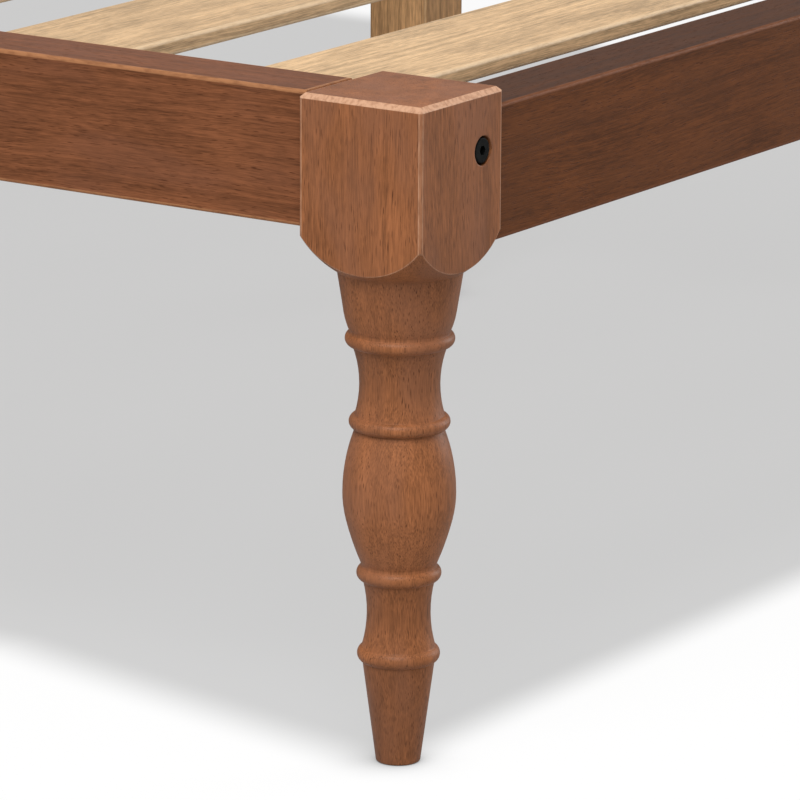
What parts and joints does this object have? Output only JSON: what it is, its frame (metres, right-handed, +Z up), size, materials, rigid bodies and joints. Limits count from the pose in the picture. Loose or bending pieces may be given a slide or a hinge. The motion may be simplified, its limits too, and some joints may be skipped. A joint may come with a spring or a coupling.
{
  "type": "platform bed",
  "caption": "Low slatted platform bed on turned corner posts, with set-back rails, a centre beam and levelling feet under it.",
  "frame": {"origin": "on the floor under the middle of the bed", "axes": "+X across the bed, +Y from the foot rail to the head rail, +Z up"},
  "size_m": [1.613, 2.121, 0.305],
  "materials": {
    "stained_wood": "brown stain, satin",
    "plain_wood": "planed, clear sealed",
    "slat_wood": "planed",
    "dowel_wood": "bare",
    "black_steel": "black oxide",
    "plated_steel": "zinc plated",
    "screw_steel": "yellow zinc",
    "nylon": "moulded"
  },
  "bodies": {
    "bed_frame": {"post_foot_left": "stained_wood", "post_foot_right": "stained_wood", "post_head_left": "stained_wood", "post_head_right": "stained_wood", "side_rail_left": "stained_wood", "side_rail_right": "stained_wood", "foot_rail": "stained_wood", "head_rail": "stained_wood", "slat_cleat_left": "plain_wood", "slat_cleat_right": "plain_wood", "centre_beam": "plain_wood", "centre_leg_1": "plain_wood", "centre_leg_2": "plain_wood", "centre_leg_3": "plain_wood", "slat_01": "slat_wood", "slat_02": "slat_wood", "slat_03": "slat_wood", "slat_04": "slat_wood", "slat_05": "slat_wood", "slat_06": "slat_wood", "slat_07": "slat_wood", "slat_08": "slat_wood", "slat_09": "slat_wood", "slat_10": "slat_wood", "slat_11": "slat_wood", "slat_12": "slat_wood", "slat_13": "slat_wood", "slat_14": "slat_wood", "beam_hanger_foot": "plated_steel", "beam_hanger_head": "plated_steel", "side_rail_bolts": "black_steel", "side_rail_washers": "black_steel", "barrel_nuts": "plated_steel", "side_rail_dowels": "dowel_wood", "end_rail_dowels": "dowel_wood", "slat_screws": "screw_steel", "cleat_screws": "screw_steel", "hanger_screws": "screw_steel", "threaded_inserts": "plated_steel", "leg_studs": "plated_steel"},
    "levelling_foot_1": {"foot_pad_1": "nylon", "foot_stem_1": "plated_steel"},
    "levelling_foot_2": {"foot_pad_2": "nylon", "foot_stem_2": "plated_steel"},
    "levelling_foot_3": {"foot_pad_3": "nylon", "foot_stem_3": "plated_steel"}
  },
  "joints": [
    {"name": "levelling_foot_1_height", "type": "slide", "parent": "bed_frame", "child": "levelling_foot_1", "axis": [0, 0, 1], "range_m": [-0.008, 0.009]},
    {"name": "levelling_foot_2_height", "type": "slide", "parent": "bed_frame", "child": "levelling_foot_2", "axis": [0, 0, 1], "range_m": [-0.008, 0.009]},
    {"name": "levelling_foot_3_height", "type": "slide", "parent": "bed_frame", "child": "levelling_foot_3", "axis": [0, 0, 1], "range_m": [-0.008, 0.009]}
  ]
}
